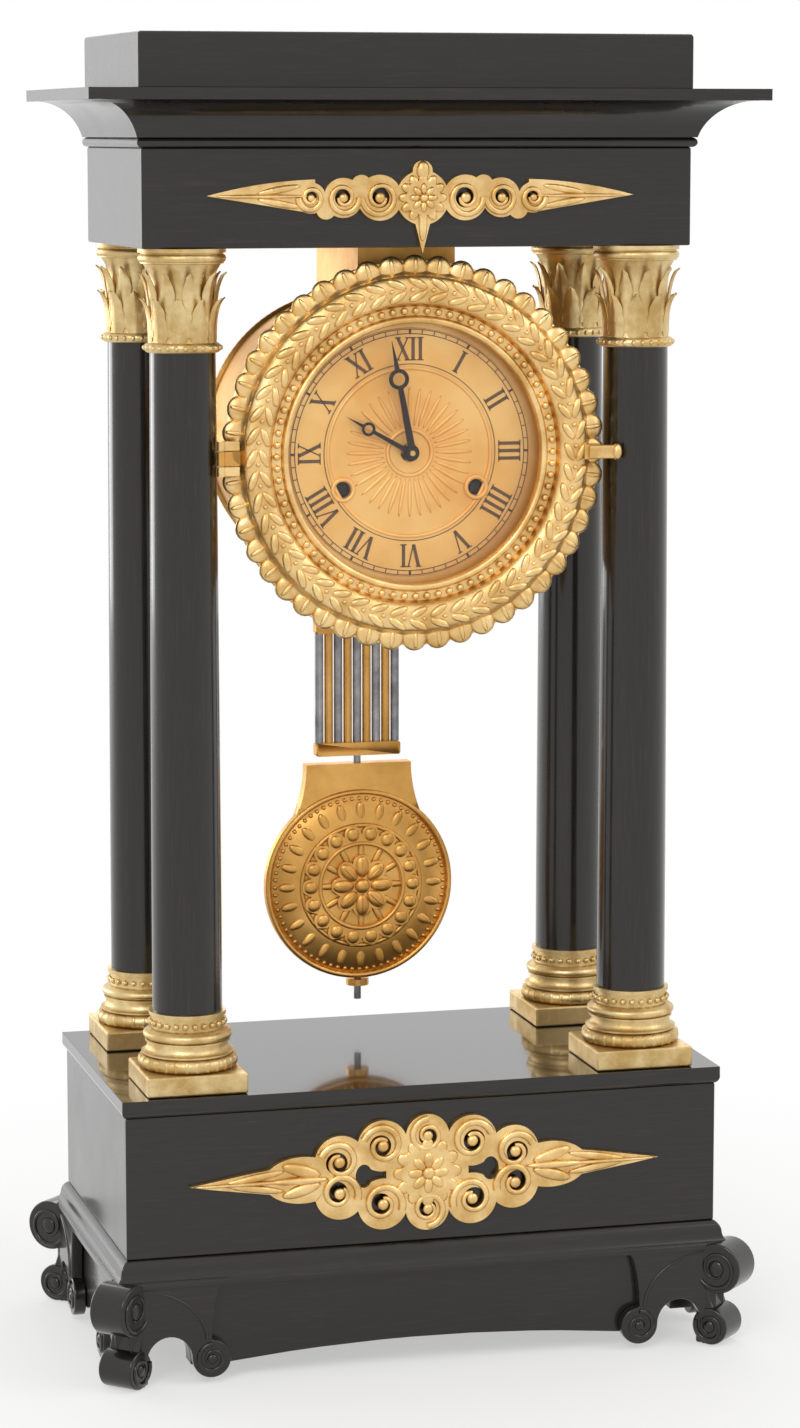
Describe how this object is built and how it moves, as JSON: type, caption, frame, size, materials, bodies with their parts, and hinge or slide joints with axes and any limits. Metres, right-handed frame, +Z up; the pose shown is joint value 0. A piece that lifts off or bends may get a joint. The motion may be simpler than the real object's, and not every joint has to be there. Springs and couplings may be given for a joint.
{
  "type": "portico mantel clock",
  "caption": "Black portico mantel clock: columns with gilt capitals and bases carry a heavy entablature, from which a drum movement with a gilt dial and a gridiron pendulum hangs.",
  "frame": {"origin": "centre of the footprint on the surface the feet stand on", "axes": "+Z up, +X to the viewer's right in front of the dial, -Y towards the viewer"},
  "size_m": [0.2508, 0.1468, 0.48],
  "materials": {
    "ebonised_wood": "black polished wood veneer over softwood",
    "plain_wood": "unpolished softwood board",
    "gilt_metal": "stamped and gilt brass",
    "gilt_dial": "matt gilt plate with dark printed chapters",
    "drum_metal": "lacquered sheet brass",
    "glass": "clear domed glass",
    "brass": "polished brass",
    "pendulum_brass": "aged polished brass",
    "bell_metal": "turned bell metal",
    "steel": "brushed steel",
    "spring_steel": "tempered spring steel",
    "blued_steel": "blued steel"
  },
  "bodies": {
    "case": {"base_plinth": "ebonised_wood", "base_box": "ebonised_wood", "base_bottom": "plain_wood", "base_top": "ebonised_wood", "scroll_feet": "ebonised_wood", "column_bases": "gilt_metal", "column_shafts": "ebonised_wood", "capitals": "gilt_metal", "tie_rods": "steel", "tie_nuts": "steel", "frieze_box": "ebonised_wood", "frieze_floor": "ebonised_wood", "cornice": "ebonised_wood", "top_block": "ebonised_wood", "base_mount": "gilt_metal", "frieze_mount": "gilt_metal", "drum": "drum_metal", "drum_saddle": "drum_metal", "saddle_screws": "steel", "hinge_pins": "steel", "dial": "gilt_dial", "front_plate": "brass", "back_plate": "brass", "pillars": "brass", "suspension_cock": "brass", "bell": "bell_metal", "bell_post": "brass"},
    "front_door": {"front_bezel": "gilt_metal", "glass": "glass"},
    "rear_cover": {"back_cover": "drum_metal", "cover_knob": "brass"},
    "pendulum": {"suspension_spring": "spring_steel", "pendulum_rod": "steel", "gridiron_yokes": "pendulum_brass", "steel_rods": "steel", "brass_rods": "pendulum_brass"},
    "pendulum_bob": {"bob": "pendulum_brass", "bob_mount": "gilt_metal"},
    "nut": {"rating_nut": "pendulum_brass"},
    "anchor_arbor": {"anchor": "steel"},
    "minute_arbor": {"centre_wheel": "brass", "cannon_pinion": "brass", "minute_hand": "blued_steel"},
    "hour_pipe": {"hour_wheel": "brass", "hour_hand": "blued_steel"},
    "minute_wheel_body": {"minute_wheel": "brass"},
    "intermediate_arbor": {"intermediate_wheel": "brass"},
    "third_arbor": {"third_wheel": "brass"},
    "escape_arbor": {"escape_wheel": "brass"},
    "going_great_wheel": {"going_barrel": "brass"},
    "going_winder": {"going_arbor": "steel"},
    "going_pawl": {"going_click": "steel"},
    "strike_great_wheel": {"strike_barrel": "brass"},
    "strike_winder": {"strike_arbor": "steel"},
    "strike_pawl": {"strike_click": "steel"},
    "strike_second_arbor": {"strike_second_wheel": "brass", "count_wheel": "brass"},
    "pin_arbor": {"pin_wheel": "brass"},
    "fly_arbor": {"fly": "brass"},
    "strike_hammer": {"hammer": "steel"}
  },
  "joints": [
    {"name": "front_door_hinge", "type": "hinge", "parent": "case", "child": "front_door", "pos_m": [-0.072, -0.0478, 0.3312], "axis": [0, 0, -1], "range_deg": [0, 105]},
    {"name": "rear_cover_hinge", "type": "hinge", "parent": "case", "child": "rear_cover", "pos_m": [-0.0564, 0.0618, 0.3312], "axis": [0, 0, 1], "range_deg": [0, 110]},
    {"name": "pendulum_swing", "type": "hinge", "parent": "case", "child": "pendulum", "pos_m": [0, 0.042, 0.3662], "axis": [0, 1, 0], "range_deg": [-4, 4]},
    {"name": "bob_slide", "type": "slide", "parent": "pendulum", "child": "pendulum_bob", "axis": [0, 0, 1], "range_m": [-0.0021, 0.0021]},
    {"name": "rating_nut_turn", "type": "hinge", "parent": "pendulum_bob", "child": "nut", "pos_m": [0, 0.042, 0.1219], "axis": [0, 0, 1], "range_deg": [-1082, 1082]},
    {"name": "anchor_rock", "type": "hinge", "parent": "case", "child": "anchor_arbor", "pos_m": [0, 0, 0.3662], "axis": [0, 1, 0], "range_deg": [-4, 4]},
    {"name": "minute_turn", "type": "hinge", "parent": "case", "child": "minute_arbor", "pos_m": [0, 0, 0.3312], "axis": [0, 1, 0], "continuous": true},
    {"name": "hour_turn", "type": "hinge", "parent": "case", "child": "hour_pipe", "pos_m": [0, 0, 0.3312], "axis": [0, 1, 0], "continuous": true},
    {"name": "minute_wheel_turn", "type": "hinge", "parent": "case", "child": "minute_wheel_body", "pos_m": [0, 0, 0.31907], "axis": [0, 1, 0], "continuous": true},
    {"name": "intermediate_turn", "type": "hinge", "parent": "case", "child": "intermediate_arbor", "pos_m": [0.01622, 0, 0.33751], "axis": [0, 1, 0], "continuous": true},
    {"name": "third_turn", "type": "hinge", "parent": "case", "child": "third_arbor", "pos_m": [-0.01032, 0, 0.34202], "axis": [0, 1, 0], "continuous": true},
    {"name": "escape_turn", "type": "hinge", "parent": "case", "child": "escape_arbor", "pos_m": [0, 0, 0.35064], "axis": [0, 1, 0], "continuous": true},
    {"name": "going_barrel_turn", "type": "hinge", "parent": "case", "child": "going_great_wheel", "pos_m": [0.0248, 0, 0.3182], "axis": [0, 1, 0], "continuous": true},
    {"name": "going_wind", "type": "hinge", "parent": "case", "child": "going_winder", "pos_m": [0.0248, 0, 0.3182], "axis": [0, 1, 0], "continuous": true},
    {"name": "strike_barrel_turn", "type": "hinge", "parent": "case", "child": "strike_great_wheel", "pos_m": [-0.0248, 0, 0.3182], "axis": [0, 1, 0], "continuous": true},
    {"name": "strike_wind", "type": "hinge", "parent": "case", "child": "strike_winder", "pos_m": [-0.0248, 0, 0.3182], "axis": [0, 1, 0], "continuous": true},
    {"name": "strike_second_turn", "type": "hinge", "parent": "case", "child": "strike_second_arbor", "pos_m": [-0.02691, 0, 0.33922], "axis": [0, 1, 0], "continuous": true},
    {"name": "pin_wheel_turn", "type": "hinge", "parent": "case", "child": "pin_arbor", "pos_m": [-0.02232, 0, 0.35383], "axis": [0, 1, 0], "continuous": true},
    {"name": "fly_turn", "type": "hinge", "parent": "case", "child": "fly_arbor", "pos_m": [-0.01336, 0, 0.36008], "axis": [0, 1, 0], "continuous": true},
    {"name": "going_click_lift", "type": "hinge", "parent": "case", "child": "going_pawl", "pos_m": [0.03043, 0, 0.3272], "axis": [0, -1, 0], "range_deg": [0, 8], "stiffness_Nm_per_rad": 0.002, "springref_deg": -5.73},
    {"name": "strike_click_lift", "type": "hinge", "parent": "case", "child": "strike_pawl", "pos_m": [-0.03043, 0, 0.3272], "axis": [0, 1, 0], "range_deg": [0, 8], "stiffness_Nm_per_rad": 0.002, "springref_deg": -5.73},
    {"name": "hammer_lift", "type": "hinge", "parent": "case", "child": "strike_hammer", "pos_m": [-0.034, 0, 0.3602], "axis": [0, 1, 0], "range_deg": [0, 10], "stiffness_Nm_per_rad": 0.01, "springref_deg": -5.73}
  ],
  "couplings": [
    {"joint": "rating_nut_turn", "follows": "bob_slide", "rad_per_m": 8976},
    {"joint": "anchor_rock", "follows": "pendulum_swing", "ratio": 1},
    {"joint": "hour_turn", "follows": "minute_turn", "ratio": 0.083333},
    {"joint": "minute_wheel_turn", "follows": "minute_turn", "ratio": -0.33333},
    {"joint": "intermediate_turn", "follows": "minute_turn", "ratio": -0.14286},
    {"joint": "going_barrel_turn", "follows": "minute_turn", "ratio": 0.02381},
    {"joint": "third_turn", "follows": "minute_turn", "ratio": -12},
    {"joint": "escape_turn", "follows": "minute_turn", "ratio": 132},
    {"joint": "strike_second_turn", "follows": "strike_barrel_turn", "ratio": -6},
    {"joint": "pin_wheel_turn", "follows": "strike_barrel_turn", "ratio": 60},
    {"joint": "fly_turn", "follows": "strike_barrel_turn", "ratio": -480}
  ]
}
